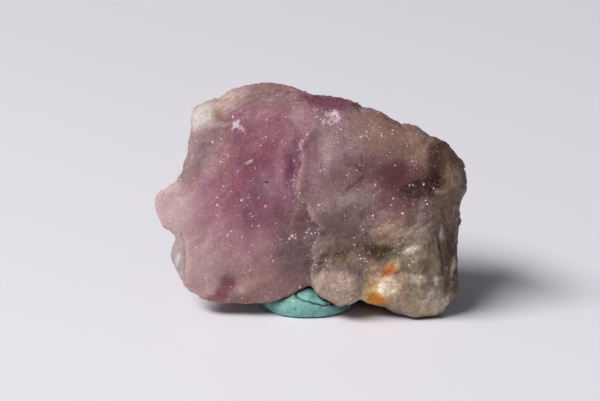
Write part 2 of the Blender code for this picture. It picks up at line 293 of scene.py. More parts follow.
wander = WANDER_REACH * noise_at(in_stone, WANDER_SIZE, 7.0)
rim = facing * patch(x, z, *RIM_FACE) * ease((z - RIM_FOOT) / 1.0)
round_rim = np.hypot(x - STRIA_CENTRE[0], z - STRIA_CENTRE[1]) + wander
lift += rim * STRIA_DEPTH * np.sin(2.0 * math.pi * round_rim / STRIA_SPACING)
ridges = flank * ease((RIDGE_TOP - z) / RIDGE_TOP_FADE)
across_ridges = x + 0.25 * z + 0.6 * y + 2.0 * wander
lift += ridges * RIDGE_DEPTH * np.abs(np.sin(math.pi * across_ridges / RIDGE_SPACING))

shift_x, shift_z = x + 0.4 * wander, z - 0.4 * wander
for line, width, depth in CRACKS:
    lift -= facing * depth * ease(1.0 - line_distance(line, shift_x, shift_z) / width)
for x0, z0 in PITS:
    lift -= facing * PIT_DEPTH * ease(1.0 - np.hypot(x - x0, z - z0) / PIT_REACH)
for x0, z0, half_x, half_z, turn, height in RAISED_CRYSTALS:
    lift += facing * height * patch(shift_x, shift_z, x0, z0, half_x, half_z, turn, 0.3)
crisp = ease(0.5 + jagged_ledge / LEDGE_SHARP) - ease(0.5 + right_of_ledge / LEDGE_SOFT)
lift += LEDGE_CREST * facing * crisp * (1.0 - above_ledge) * ease((z - 1.0) / 1.0)
lift += LEDGE_FILL * facing * patch(x, z, *LEDGE_HOLLOW)
in_print = ease((PRINT_HALF - np.abs(x - PRINT_MIDDLE)) / 1.0) * ease((PRINT_TOP - z) / 1.0)
lift += STONE_SINK * in_print * ease((-normals[:, 2] - 0.1) / 0.4)

floor_keep = ease((places[:, 2] / MM) / FLOOR_FADE)
places += normals * (lift * floor_keep)[:, None] * MM
places[:, 2] = np.maximum(places[:, 2], 0.0)
stone.data.vertices.foreach_set("co", places.ravel())
stone.data.update()


# The stone's colours come from the minerals grown together in it: violet sodalite that pales to pink at the
# thin left side, where painted light also stands for light shining through the thin stone, mauve-grey and tan
# feldspar right of the ledge, maroon and olive where it is deep, darkened in the hollows by painted shade,
# and cream and rust-stained crystals at the foot. Each patch is a mineral's colour or a painted light or
# shade, a place, two half sizes, a turn, how soft its edge is, how strong it is and how deep into the stone
# it goes.
STONE_TINTS = {
    "body": "#8a6a68", "back": "#80625d",
    "pale_pink": "#ae9695", "dusty_pink": "#ac908f", "bevel_rose": "#7d605a", "old_rose": "#ad898c",
    "faded_rose": "#957370", "rose": "#9c717c", "upper_rose": "#916472", "rose_violet": "#8a5665",
    "crimson_violet": "#854f5f", "lilac": "#896373", "deep_violet": "#7b4a60", "plum": "#6d3e4f",
    "red_violet": "#7c3c4a", "whitish": "#a08a90", "buff": "#b39c96", "rim_brown": "#906c6d",
    "rim_olive": "#8b7468", "edge_grey": "#8e7778", "edge_brown": "#7e6660", "blue_grey": "#69687c",
    "cream": "#aca39e", "bright_cream": "#bdb5b0", "dull_cream": "#aa9a94", "stain": "#8f6c55",
    "block": "#83696a", "mauve_grey": "#886e6d", "mauve": "#87636b", "veil": "#927878", "tan": "#82645b",
    "umber": "#846c54", "ash": "#8b7774", "wine_brown": "#634343", "maroon": "#6f4543",
    "dark_maroon": "#3b1710", "slate": "#5e4849", "grey_brown": "#664e4b", "dark_brown": "#624838",
    "shaded_groove": "#46281e", "flank_grey": "#74665f", "flank_brown": "#6f5c50", "flank_olive": "#4a3c33",
    "beige": "#aa8f79", "grey_green": "#827669", "olive": "#705a4b", "shaded_dark_olive": "#3b2913",
    "sugar": "#ae9a8d", "dull_sugar": "#a3917f", "foot_green": "#7a6d5a", "foot_beige": "#9b8a74",
    "light_beige": "#b5a999", "streak": "#b8ab9a", "honey": "#daba85", "ivory": "#c1a68b",
    "white": "#e2d1ba", "rust": "#954f00", "amber": "#b87722", "dark_rust": "#5f3d27",
    "clear_grey": "#988a8a", "clear_white": "#c2bbb9", "frost": "#bfb0b7", "bright_frost": "#d9ccd2",
}
VIOLET_PATCHES = [
    # the pale left side and the spur, lighter partly by painted light shining through the thin stone
    ("old_rose", -11.4, 9.0, 3.6, 6.5, 0.0, 0.7, 0.9, 9.0),
    ("pale_pink", -14.6, 10.2, 3.0, 3.4, 10.0, 0.8, 0.95, 9.0),
    ("dusty_pink", -10.6, 3.4, 5.2, 4.4, 0.0, 0.8, 0.9, 8.0),
    ("faded_rose", -5.0, 3.4, 4.4, 4.8, 0.0, 0.8, 0.7, 8.0),
    ("edge_brown", -12.2, 13.8, 1.4, 2.0, 0.0, 0.6, 0.8, 8.0),
    ("bevel_rose", -9.4, 0.2, 4.2, 0.9, 4.0, 0.8, 0.9, 5.0),
    # the violet body, deepest against the ledge
    ("rose", -6.6, 9.6, 5.2, 4.6, 0.0, 0.9, 0.9, 12.0),
    ("upper_rose", -4.6, 17.6, 5.6, 3.4, 0.0, 0.9, 0.75, 9.0),
    ("rose_violet", -5.5, 13.0, 4.6, 4.6, 0.0, 1.1, 0.95, 14.0),
    ("crimson_violet", -7.4, 12.4, 1.9, 3.2, 0.0, 1.4, 0.6, 14.0),
    ("crimson_violet", -5.6, 14.6, 2.0, 1.0, 30.0, 1.2, 0.6, 14.0),
    ("lilac", -3.6, 11.8, 2.4, 1.6, 0.0, 0.9, 0.7, 12.0),
    ("deep_violet", -1.3, 14.2, 1.3, 2.6, 4.0, 1.3, 0.9, 12.0),
    ("deep_violet", -4.4, 9.2, 2.2, 1.6, 20.0, 1.0, 0.6, 12.0),
    ("red_violet", -8.2, 2.0, 0.8, 0.9, 0.0, 1.3, 0.8, 4.0),
    ("red_violet", -8.8, 1.2, 0.9, 0.6, 20.0, 1.3, 0.7, 4.0),
    ("mauve", -0.4, 18.8, 1.3, 1.7, 0.0, 1.2, 0.8, 6.0),
    ("faded_rose", -9.6, 15.8, 1.7, 3.0, 20.0, 1.3, 0.6, 8.0),
    ("whitish", -1.6, 19.0, 0.5, 0.9, -20.0, 1.4, 0.5, 2.0),
    ("slate", -1.1, 6.2, 2.6, 3.6, 0.0, 1.1, 0.85, 6.0),
    ("wine_brown", -1.2, 8.2, 1.4, 1.3, 0.0, 1.3, 0.6, 6.0),
]
BLOCK_PATCHES = [
    # mauve-grey, a whitish veil, tan above and a maroon hollow whose darkest part is painted shade
    ("mauve_grey", 2.4, 9.8, 2.9, 3.2, 0.0, 0.7, 0.95, 10.0),
    ("mauve", 0.6, 14.6, 1.9, 2.8, 0.0, 0.7, 0.9, 8.0),
    ("veil", 1.7, 15.4, 0.9, 2.6, 6.0, 1.2, 0.9, 4.0),
    ("veil", -0.2, 13.6, 0.6, 1.4, 0.0, 1.3, 0.7, 4.0),
    ("veil", 0.6, 9.2, 1.2, 1.6, -30.0, 1.1, 0.5, 4.0),
    ("tan", 8.0, 16.4, 4.2, 2.2, -22.0, 0.6, 0.95, 7.0),
    ("umber", 11.0, 14.8, 1.3, 1.8, 0.0, 0.9, 0.7, 6.0),
    ("wine_brown", 6.4, 13.4, 3.2, 1.4, -14.0, 1.0, 0.85, 8.0),
    ("wine_brown", 4.0, 12.2, 2.2, 1.3, -20.0, 1.2, 0.55, 6.0),
    ("ash", 4.2, 10.6, 2.6, 0.8, 16.0, 1.2, 0.7, 6.0),
    ("maroon", 9.2, 12.2, 2.9, 1.9, 16.0, 1.0, 0.9, 8.0),
    ("grey_brown", 8.6, 8.6, 2.6, 2.0, 0.0, 0.9, 0.7, 6.0),
    ("grey_brown", 10.9, 9.6, 0.9, 1.6, 0.0, 1.0, 0.9, 6.0),
    ("maroon", 9.0, 10.6, 2.6, 0.9, 16.0, 1.0, 0.8, 6.0),
    ("grey_brown", 4.0, 8.3, 3.4, 1.7, 0.0, 0.8, 0.9, 6.0),
    # the flank on the right
    ("flank_brown", 14.4, 8.8, 3.0, 12.0, 0.0, 0.4, 0.95, 0.0),
    ("dark_brown", 12.9, 14.4, 1.5, 2.8, 6.0, 0.5, 0.95, 16.0),
    # A dark band of painted shade where the face folds into the flank
    ("shaded_groove", 12.2, 12.9, 0.8, 2.0, 6.0, 0.9, 0.9, 5.0),
    # Painted shade: the darkest part of the hollow, over its maroon
    ("dark_maroon", 10.8, 11.7, 2.2, 1.1, 24.0, 1.0, 1.0, 6.0),
    ("flank_grey", 14.6, 12.5, 0.7, 1.1, 0.0, 0.9, 0.85, 8.0),
    ("veil", 12.5, 11.3, 0.5, 0.3, 0.0, 1.2, 0.6, 8.0),
    ("flank_olive", 13.7, 3.8, 1.9, 4.0, 0.0, 0.8, 0.9, 14.0),
    # the lumps below the hollow, the olive hollow with its darkest parts painted shade of the recess, and the
    # sugary bulge
    ("beige", 7.8, 7.3, 2.0, 1.1, 20.0, 1.1, 0.9, 5.0),
    ("ash", 10.2, 8.8, 0.9, 0.5, 20.0, 1.2, 0.6, 5.0),
    ("grey_green", 10.4, 6.2, 2.2, 1.5, 30.0, 0.9, 0.85, 5.0),
    ("olive", 4.8, 5.2, 4.0, 1.6, -4.0, 0.9, 0.85, 5.0),
    ("shaded_dark_olive", 7.0, 5.4, 1.8, 0.8, -10.0, 1.0, 0.85, 4.0),
    ("beige", 6.3, 3.2, 1.0, 0.9, 30.0, 1.1, 0.7, 4.0),
    ("shaded_dark_olive", 1.0, 3.8, 1.3, 0.7, 0.0, 1.2, 0.5, 4.0),
    ("dark_maroon", 0.5, 7.2, 0.8, 0.5, 0.0, 1.3, 0.75, 4.0),
    ("dull_sugar", 3.2, 1.2, 3.2, 1.8, 0.0, 0.7, 0.9, 5.0),
    ("sugar", 2.5, 2.5, 2.3, 1.0, 0.0, 0.9, 0.85, 4.0),
    # the foot: greenish grey crystal with frosty streaks, a white crystal, rust and yellow stains
    ("foot_green", 10.6, 2.6, 3.2, 3.8, 0.0, 0.6, 0.95, 7.0),
    ("foot_beige", 11.6, 0.2, 3.0, 1.5, 0.0, 0.9, 0.9, 6.0),
    ("light_beige", 9.9, 5.5, 0.9, 0.40, 30.0, 0.9, 0.7, 2.0),
    ("light_beige", 9.8, 2.7, 1.3, 0.45, 0.0, 0.9, 0.85, 3.0),
    ("light_beige", 12.8, 0.3, 0.9, 1.0, -20.0, 0.9, 0.8, 4.0),
    ("streak", 10.0, 5.6, 0.7, 0.22, 24.0, 1.0, 0.8, 3.0),
    ("streak", 10.8, 2.8, 0.35, 0.35, 0.0, 0.9, 0.8, 3.0),
    ("streak", 12.9, 7.2, 0.2, 0.8, -10.0, 1.0, 0.7, 3.0),
    ("streak", 14.2, 4.0, 0.2, 1.0, -6.0, 1.0, 0.6, 3.0),
    ("streak", 12.2, 2.6, 0.3, 0.6, 6.0, 0.9, 0.8, 3.0),
    ("streak", 11.7, 0.8, 0.4, 1.2, -30.0, 0.9, 0.8, 3.0),
    ("honey", 6.0, 1.4, 0.9, 1.3, 0.0, 0.8, 0.85, 4.0),
    ("ivory", 8.2, 1.7, 1.7, 1.6, -20.0, 0.7, 0.9, 4.0),
    ("white", 7.6, 2.0, 1.0, 0.9, 12.0, 0.35, 0.85, 3.0),
    ("white", 7.2, 1.4, 0.7, 0.7, -30.0, 0.4, 0.85, 3.0),
    ("honey", 8.0, 3.8, 0.8, 0.6, 60.0, 1.0, 0.35, 3.0),
    ("rust", 7.6, 3.5, 0.95, 0.6, 60.0, 1.0, 0.95, 3.0),
    ("amber", 6.5, 0.5, 1.1, 0.60, -14.0, 0.8, 0.95, 4.0),
    ("dark_rust", 8.5, 3.3, 0.35, 0.22, 40.0, 1.0, 0.9, 1.5),
    ("dark_rust", 5.6, 0.1, 0.4, 0.2, -10.0, 1.0, 0.8, 1.5),
]
SHARED_PATCHES = [
    # the rim at the top left, the cream knob and the grey patch under it
    ("buff", -8.6, 20.3, 2.6, 1.1, 28.0, 1.1, 0.8, 8.0),
    ("rim_brown", -2.6, 21.6, 3.4, 1.0, -8.0, 1.2, 0.7, 8.0),
    ("rim_olive", -4.8, 20.9, 1.4, 0.7, 12.0, 1.0, 0.6, 3.0),
    ("edge_grey", -11.0, 15.8, 1.5, 1.9, 0.0, 0.8, 0.9, 6.0),
    ("cream", -10.8, 18.9, 1.25, 1.5, -20.0, 0.8, 0.95, 5.0),
    ("bright_cream", -11.3, 18.6, 0.6, 1.0, -30.0, 1.0, 0.8, 5.0),
    ("dull_cream", -9.5, 17.9, 1.2, 0.35, 8.0, 0.9, 0.9, 2.0),
    ("stain", -9.2, 19.0, 0.9, 0.5, -50.0, 1.2, 0.7, 2.0),
    ("blue_grey", -10.7, 15.9, 0.40, 0.32, 0.0, 1.2, 0.8, 1.5),
    ("red_violet", -10.1, 16.0, 0.30, 0.30, 0.0, 1.2, 0.6, 1.5),
    # the deep violet top facet and the frosty flakes beside it and on the violet face
    ("plum", 1.5, 20.3, 2.8, 0.95, -10.0, 0.7, 0.95, 8.0),
    ("lilac", 2.4, 18.6, 1.7, 1.0, -20.0, 1.2, 0.4, 6.0),
    ("bright_frost", 2.20, 19.20, 0.45, 0.20, 20.0, 0.9, 0.7, 1.5),
    ("bright_frost", 2.65, 18.95, 0.20, 0.42, 20.0, 0.9, 0.7, 1.5),
    ("frost", 2.30, 18.50, 0.40, 0.18, -20.0, 0.9, 0.7, 1.5),
    ("frost", 1.90, 18.90, 0.18, 0.36, 30.0, 0.9, 0.6, 1.5),
    ("frost", 1.10, 18.30, 0.20, 0.40, 0.0, 0.9, 0.8, 1.5),
    ("frost", 1.45, 19.15, 0.20, 0.34, 30.0, 0.9, 0.7, 1.5),
    ("frost", 1.70, 18.40, 0.30, 0.18, 60.0, 0.9, 0.7, 1.5),
    ("veil", 0.90, 17.70, 0.70, 0.35, 0.0, 1.0, 0.9, 1.5),
    ("frost", -7.24, 17.61, 0.85, 0.20, -44.0, 0.5, 0.95, 1.5),
    ("frost", -7.52, 17.83, 0.65, 0.24, 50.0, 0.5, 0.95, 1.5),
    ("frost", -6.10, 14.50, 0.36, 0.16, 40.0, 0.7, 0.8, 1.5),
    # the clear grain in the left edge
    ("clear_grey", -13.2, 5.0, 0.9, 2.2, 8.0, 0.5, 0.9, 6.0),
    ("clear_white", -13.1, 4.6, 0.18, 0.7, -8.0, 1.0, 0.7, 4.0),
]
BACK_PATCHES = [
    ("rose", -3.0, 11.0, 6.0, 4.5, 10.0, 1.0, 0.8, 0.0),
    ("deep_violet", -1.0, 13.0, 2.6, 2.2, 0.0, 1.0, 0.6, 0.0),
    ("dusty_pink", -11.0, 10.0, 4.5, 6.0, 0.0, 0.9, 0.8, 0.0),
    ("rim_brown", -4.0, 18.6, 5.0, 2.2, -8.0, 0.9, 0.8, 0.0),
    ("umber", 7.0, 14.6, 4.5, 2.8, -20.0, 0.9, 0.8, 0.0),
    ("dark_brown", 12.6, 10.0, 3.0, 5.0, 0.0, 0.8, 0.9, 0.0),
    ("foot_green", 6.0, 4.0, 5.0, 2.6, 0.0, 0.9, 0.8, 0.0),
    ("sugar", 2.0, 7.6, 1.8, 1.2, 24.0, 0.8, 0.8, 0.0),
    ("rust", 8.6, 6.2, 0.9, 0.6, 30.0, 0.8, 0.7, 0.0),
    ("slate", -4.0, 4.4, 3.0, 1.6, 0.0, 0.9, 0.7, 0.0),
]

# How far the patches' edges wander, as wavelength and reach, how soft the change is across the ledge's line
# above its top, and where and how fast the front's colours give way to the back's
PATCH_WANDER = [(2.6, 0.35), (0.9, 0.22), (0.3, 0.10)]
LEDGE_BLEND = 2.4
BACK_FROM = 3.0
BACK_FADE = 6.0


def linear(colour):
    """An sRGB hex value as a linear colour."""
    shares = [int(colour[i : i + 2], 16) / 255.0 for i in (1, 3, 5)]
    return tuple(s / 12.92 if s <= 0.04045 else ((s + 0.055) / 1.055) ** 2.4 for s in shares)


def opaque(colour):
    """An sRGB hex value as a shader's colour."""
    return (*linear(colour), 1.0)


def paint(colours, patches, x, y, z):
    """Lays the patches one over the other on the colours at hand."""
    for tint_name, x0, z0, half_x, half_z, turn, soft, strength, depth in patches:
        share = strength * patch(x, z, x0, z0, half_x, half_z, turn, soft)
        if depth:
            share = share * (1.0 - ease((y - FACE_DEPTH - depth) / (0.5 * depth)))
        colours = colours + share[:, None] * (np.array(linear(STONE_TINTS[tint_name])) - colours)
    return colours


x, y, z = to_stone(places)
moved_x, moved_z = x.copy(), z.copy()
for wavelength, reach in PATCH_WANDER:
    moved_x += reach * noise_at(in_stone, wavelength, 20.0)
    moved_z += reach * noise_at(in_stone, wavelength, 40.0)
plain = np.ones((len(x), 1))
violet_side = paint(plain * linear(STONE_TINTS["body"]), VIOLET_PATCHES, moved_x, y, moved_z)
block_side = paint(plain * linear(STONE_TINTS["block"]), BLOCK_PATCHES, moved_x, y, moved_z)
past_ledge = ease(0.5 + jagged_ledge / (LEDGE_SHARP + LEDGE_BLEND * above_ledge))[:, None]
front_colours = violet_side + past_ledge * (block_side - violet_side)
front_colours = paint(front_colours, SHARED_PATCHES, moved_x, y, moved_z)
back_colours = paint(plain * linear(STONE_TINTS["back"]), BACK_PATCHES, moved_x, y, moved_z)
in_front = ease((BACK_FROM - y) / BACK_FADE)[:, None]
stone_colours = back_colours + in_front * (front_colours - back_colours)
colour_layer = stone.data.attributes.new("stone_colour", "FLOAT_COLOR", "POINT")
colour_layer.data.foreach_set("color", np.hstack([stone_colours, plain]).ravel())


# Hackmanite is a waxy, cloudy crystal that light enters: sodalite's index of 1.48, light that scatters two
# or three millimetres inside, fine sugary grain that glints, whitish wisps, specks of white mineral, fine
# white dots that are painted glints and dark dots that are painted shade of tiny pits. Sizes are in
# millimetres.
STONE_IOR = 1.48
STONE_ROUGHNESS = (0.25, 0.65)
STONE_SHEEN = 0.20
SCATTER_SHARE = 0.7
SCATTER_LENGTH = 2.4
SCATTER_RADIUS = (1.0, 0.7, 0.72)
GRAIN_SIZE = 0.17
GRAIN_TILT = 0.45
GRAIN_SHADES = (0.76, 1.24)
MOTTLE_SIZE = 0.9
MOTTLE_SHADES = (0.84, 1.22)
MOTTLE_DEPTH = 0.15
WISP_SIZE = 2.2
WISP_SHARE = 0.25
WISP_COLOUR = "#a8969a"
WARP_SIZE = 0.22
WARP_REACH = 0.12
# White of the mineral specks and of the painted glints
SPECK_AND_GLINT_COLOUR = "#d8cacd"
# Dark of the painted shade in tiny pits
PIT_SHADE_COLOUR = "#3b2a2c"

# Painted spots: spacing, core and reach as shares of it, which random number picks them, the share of places
# left bare, strength and colour
STONE_SPOTS = [
    # Finest row: painted glints, white dots that stand for light caught by tiny crystal faces
    (0.26, 0.13, 0.26, 1, 0.55, 0.65, SPECK_AND_GLINT_COLOUR),
    (0.62, 0.08, 0.16, 1, 0.60, 0.90, SPECK_AND_GLINT_COLOUR),
    # Last row: painted shade, dark dots that stand for tiny pits
    (2.00, 0.03, 0.06, 1, 0.60, 0.75, PIT_SHADE_COLOUR),
]


def fill(tree, node, inputs):
    """Sets a node's inputs, each to a value or to another node's output."""
    for name, value in inputs.items():
        if isinstance(value, bpy.types.NodeSocket):
            tree.links.new(value, node.inputs[name])
        else:
            node.inputs[name].default_value = value


def add_node(tree, kind, inputs=None, **settings):
    """Adds a node with its own settings and inputs."""
    node = tree.nodes.new(kind)
    for name, value in settings.items():
        setattr(node, name, value)
    fill(tree, node, inputs or {})
    return node


def new_material(name):
    made = bpy.data.materials.new(name)
    made.use_nodes = True
    return made, made.node_tree, made.node_tree.nodes["Principled BSDF"]


def add_spots(tree, colour, where, mask, spots):
    """Paints spots over a colour, in some of the cells round a scatter of points."""
    for spacing, core, reach, channel, bare, strength, spot_colour in spots:
        cell = add_node(tree, "ShaderNodeTexVoronoi", {"Vector": where, "Scale": 1.0 / (spacing * MM)})
        luck = add_node(tree, "ShaderNodeSeparateColor", {0: cell.outputs["Color"]}).outputs[channel]
        inside = add_node(
            tree, "ShaderNodeMapRange", {"Value": cell.outputs["Distance"], 1: core, 2: reach, 3: 1.0, 4: 0.0}
        ).outputs[0]
        chosen = add_node(tree, "ShaderNodeMapRange", {"Value": luck, 1: bare, 4: strength}).outputs[0]
        spot = add_node(tree, "ShaderNodeMath", {0: inside, 1: chosen}, operation="MULTIPLY").outputs[0]
        share = add_node(tree, "ShaderNodeMath", {0: spot, 1: mask}, operation="MULTIPLY").outputs[0]
        colour = add_node(
            tree, "ShaderNodeMix", {0: share, 6: colour, 7: opaque(spot_colour)}, data_type="RGBA"
        ).outputs[2]
    return colour


# How strongly the grain shows: least at the spur, more on the violet face and most right of the ledge
sugar_layer = stone.data.attributes.new("sugar", "FLOAT", "POINT")
sugar_layer.data.foreach_set("value", 0.3 + 0.45 * ease((x + 14.0) / 6.0) + 0.25 * ease((x + 1.0) / 3.0))

stone_finish, tree, shader = new_material("raw_hackmanite")
where = add_node(tree, "ShaderNodeTexCoord").outputs["Object"]
painted = add_node(tree, "ShaderNodeAttribute", attribute_name="stone_colour").outputs["Color"]
sugar = add_node(tree, "ShaderNodeAttribute", attribute_name="sugar").outputs["Fac"]
mottle = add_node(
    tree, "ShaderNodeTexNoise",
    {"Vector": where, "Scale": 1.0 / (MOTTLE_SIZE * MM), "Detail": 5.0, "Roughness": 0.65},
).outputs[0]
wisp = add_node(
    tree, "ShaderNodeTexNoise",
    {"Vector": where, "Scale": 1.0 / (WISP_SIZE * MM), "Detail": 6.0, "Roughness": 0.6, "Distortion": 0.8},
).outputs[0]
grain = add_node(tree, "ShaderNodeTexVoronoi", {"Vector": where, "Scale": 1.0 / (GRAIN_SIZE * MM)})
grain_luck = add_node(tree, "ShaderNodeSeparateColor", {0: grain.outputs["Color"]})

mottle_shade = add_node(
    tree, "ShaderNodeMapRange", {"Value": mottle, 1: 0.3, 2: 0.7, 3: MOTTLE_SHADES[0], 4: MOTTLE_SHADES[1]}
).outputs[0]
grain_shade = add_node(
    tree, "ShaderNodeMapRange", {"Value": grain_luck.outputs[0], 3: GRAIN_SHADES[0], 4: GRAIN_SHADES[1]}
).outputs[0]
shade = add_node(tree, "ShaderNodeMath", {0: mottle_shade, 1: grain_shade}, operation="MULTIPLY").outputs[0]
grey_shade = add_node(tree, "ShaderNodeCombineColor", {0: shade, 1: shade, 2: shade}).outputs[0]
shaded = add_node(
    tree, "ShaderNodeMix", {0: sugar, 6: painted, 7: grey_shade}, data_type="RGBA", blend_type="MULTIPLY"
).outputs[2]
wisp_share = add_node(
    tree, "ShaderNodeMapRange", {"Value": wisp, 1: 0.52, 2: 0.78, 3: 0.0, 4: WISP_SHARE}
).outputs[0]
wispy = add_node(
    tree, "ShaderNodeMix", {0: wisp_share, 6: shaded, 7: opaque(WISP_COLOUR)}, data_type="RGBA"
).outputs[2]
warp = add_node(
    tree, "ShaderNodeTexNoise", {"Vector": where, "Scale": 1.0 / (WARP_SIZE * MM), "Detail": 2.0}
).outputs[1]
warped = add_node(
    tree, "ShaderNodeVectorMath", {0: warp, 1: (WARP_REACH * MM,) * 3, 2: where}, operation="MULTIPLY_ADD"
).outputs[0]
clump = add_node(tree, "ShaderNodeMapRange", {"Value": wisp, 1: 0.42, 2: 0.62, 3: 0.35, 4: 1.0}).outputs[0]
clumps = add_node(tree, "ShaderNodeMath", {0: sugar, 1: clump}, operation="MULTIPLY").outputs[0]
colour = add_spots(tree, wispy, warped, clumps, STONE_SPOTS)

gloss = add_node(
    tree, "ShaderNodeMapRange",
    {"Value": grain_luck.outputs[2], 3: STONE_ROUGHNESS[0], 4: STONE_ROUGHNESS[1]},
).outputs[0]
outward = add_node(tree, "ShaderNodeNewGeometry").outputs["Normal"]
tilt = add_node(
    tree, "ShaderNodeVectorMath", {0: grain.outputs["Color"], 1: (0.5, 0.5, 0.5)}, operation="SUBTRACT"
).outputs[0]
tilted = add_node(
    tree, "ShaderNodeVectorMath", {0: tilt, 1: (GRAIN_TILT,) * 3, 2: outward}, operation="MULTIPLY_ADD"
).outputs[0]
grain_normal = add_node(tree, "ShaderNodeVectorMath", {0: tilted}, operation="NORMALIZE").outputs[0]
mottle_bump = add_node(
    tree, "ShaderNodeBump",
    {"Height": mottle, "Strength": 0.5, "Distance": MOTTLE_DEPTH * MM, "Normal": grain_normal},
).outputs[0]
fill(tree, shader, {
    "Base Color": colour, "Roughness": gloss, "Normal": mottle_bump, "IOR": STONE_IOR,
    "Specular IOR Level": STONE_SHEEN, "Subsurface Weight": SCATTER_SHARE,
    "Subsurface Radius": SCATTER_RADIUS, "Subsurface Scale": SCATTER_LENGTH * MM,
})
stone.data.materials.clear()
stone.data.materials.append(stone_finish)
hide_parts("hackmanite")
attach(stone, "root")


# White crumbs: tiny loose crystals and flakes of white feldspar that stick all over the broken face, in
# clumps and along the ledge. Each is a flat glassy grain from under a tenth to about a third of a millimetre
# across, half sunk in the skin, and its small hard faces glint.
CRUMB_SIZE = (0.03, 0.115)
CRUMB_SHAPES = ((0.5, 0.5, 0.35), (1.6, 1.2, 0.6))
CRUMB_LUMPS = 2.6
CRUMB_LEAN = 0.3
CRUMB_FEW_LARGE = 2.5
CRUMB_TINTS = ("#a08e92", "#dfd3d3")
CRUMB_TINT_SIZE = 0.3
CRUMB_ROUGHNESS = 0.35
CRUMB_IOR = 1.5
CRUMB_SEED = 3

# How many there are to the square millimetre, all over, along the ledge and in clusters of a place, a reach
# and a number, then thickened and thinned by waves of clumps
CRUMBS_EVERYWHERE = 1.5
CRUMBS_BY_LEDGE = 7.0
CRUMB_CLUSTERS = [
    (2.0, 18.8, 0.9, 18.0), (-6.8, 11.0, 1.1, 3.5), (-5.9, 9.0, 0.9, 5.0), (5.5, 7.7, 0.8, 6.0),
    (-4.2, 16.8, 1.4, 2.0), (-2.0, 9.6, 1.4, 2.0), (-6.2, 14.4, 0.8, 4.0), (0.0, 5.6, 1.6, 2.4),
    (2.0, 14.0, 1.6, 2.2), (9.4, 14.2, 1.2, 1.8), (0.8, 3.2, 1.4, 2.2), (6.4, 5.0, 1.8, 4.0),
    (-9.2, 6.0, 1.6, 1.6), (3.8, 8.8, 1.4, 2.4),
]
CRUMB_WAVE = 1.6
CRUMB_CLUMPING = 1.6


def crumb_tree(material):
    """Scatters small flat grains over a mesh, as thick as its crumbs attribute says."""
    tree = bpy.data.node_groups.new("crumb_scatter", "GeometryNodeTree")
    tree.interface.new_socket("Surface", in_out="INPUT", socket_type="NodeSocketGeometry")
    for title in ("Smallest", "Largest"):
        tree.interface.new_socket(title, in_out="INPUT", socket_type="NodeSocketFloat")
    tree.interface.new_socket("Grains", in_out="OUTPUT", socket_type="NodeSocketGeometry")
    given = add_node(tree, "NodeGroupInput")
    share = add_node(tree, "GeometryNodeInputNamedAttribute", {"Name": "crumbs"}, data_type="FLOAT")
    points = add_node(
        tree, "GeometryNodeDistributePointsOnFaces",
        {"Mesh": given.outputs["Surface"], "Density": share.outputs[0], "Seed": CRUMB_SEED},
    )
    ball = add_node(tree, "GeometryNodeMeshIcoSphere", {"Radius": 1.0, "Subdivisions": 1}).outputs["Mesh"]
    lumps = add_node(tree, "ShaderNodeTexNoise", {"Scale": 0.9, "Detail": 1.0}).outputs[1]
    moved = add_node(
        tree, "ShaderNodeVectorMath", {0: lumps, 1: (CRUMB_LUMPS,) * 3, 2: (-CRUMB_LUMPS / 2.0,) * 3},
        operation="MULTIPLY_ADD",
    ).outputs[0]
    grain = add_node(tree, "GeometryNodeSetPosition", {"Geometry": ball, "Offset": moved}).outputs[0]
    luck = add_node(tree, "FunctionNodeRandomValue", {"Seed": CRUMB_SEED + 1}).outputs[1]
    mostly_small = add_node(tree, "ShaderNodeMath", {0: luck, 1: CRUMB_FEW_LARGE}, operation="POWER")
    size = add_node(
        tree, "ShaderNodeMapRange",
        {"Value": mostly_small.outputs[0], 3: given.outputs["Smallest"], 4: given.outputs["Largest"]},
    ).outputs[0]
    squash = add_node(
        tree, "FunctionNodeRandomValue",
        {0: CRUMB_SHAPES[0], 1: CRUMB_SHAPES[1], "Seed": CRUMB_SEED + 2}, data_type="FLOAT_VECTOR",
    ).outputs[0]
    scale = add_node(tree, "ShaderNodeVectorMath", {0: squash, "Scale": size}, operation="SCALE").outputs[0]
    spin = add_node(
        tree, "FunctionNodeRandomValue",
        {0: (-CRUMB_LEAN, -CRUMB_LEAN, 0.0), 1: (CRUMB_LEAN, CRUMB_LEAN, math.tau), "Seed": CRUMB_SEED + 3},
        data_type="FLOAT_VECTOR",
    ).outputs[0]
    turn = add_node(
        tree, "FunctionNodeRotateRotation", {"Rotation": points.outputs["Rotation"], "Rotate By": spin},
        rotation_space="LOCAL",
    ).outputs[0]
    placed = add_node(
        tree, "GeometryNodeInstanceOnPoints",
        {"Points": points.outputs["Points"], "Instance": grain, "Rotation": turn, "Scale": scale},
    )
    real = add_node(tree, "GeometryNodeRealizeInstances", {"Geometry": placed.outputs[0]})
    finished = add_node(tree, "GeometryNodeSetMaterial", {"Geometry": real.outputs[0], "Material": material})
    add_node(tree, "NodeGroupOutput", {"Grains": finished.outputs[0]})
    return tree


crumb_finish, tree, shader = new_material("white_crumbs")
where = add_node(tree, "ShaderNodeTexCoord").outputs["Object"]
cell = add_node(tree, "ShaderNodeTexVoronoi", {"Vector": where, "Scale": 1.0 / (CRUMB_TINT_SIZE * MM)})
luck = add_node(tree, "ShaderNodeSeparateColor", {0: cell.outputs["Color"]}).outputs[0]
tint = add_node(
    tree, "ShaderNodeMix", {0: luck, 6: opaque(CRUMB_TINTS[0]), 7: opaque(CRUMB_TINTS[1])}, data_type="RGBA"
).outputs[2]
fill(tree, shader, {"Base Color": tint, "Roughness": CRUMB_ROUGHNESS, "IOR": CRUMB_IOR})

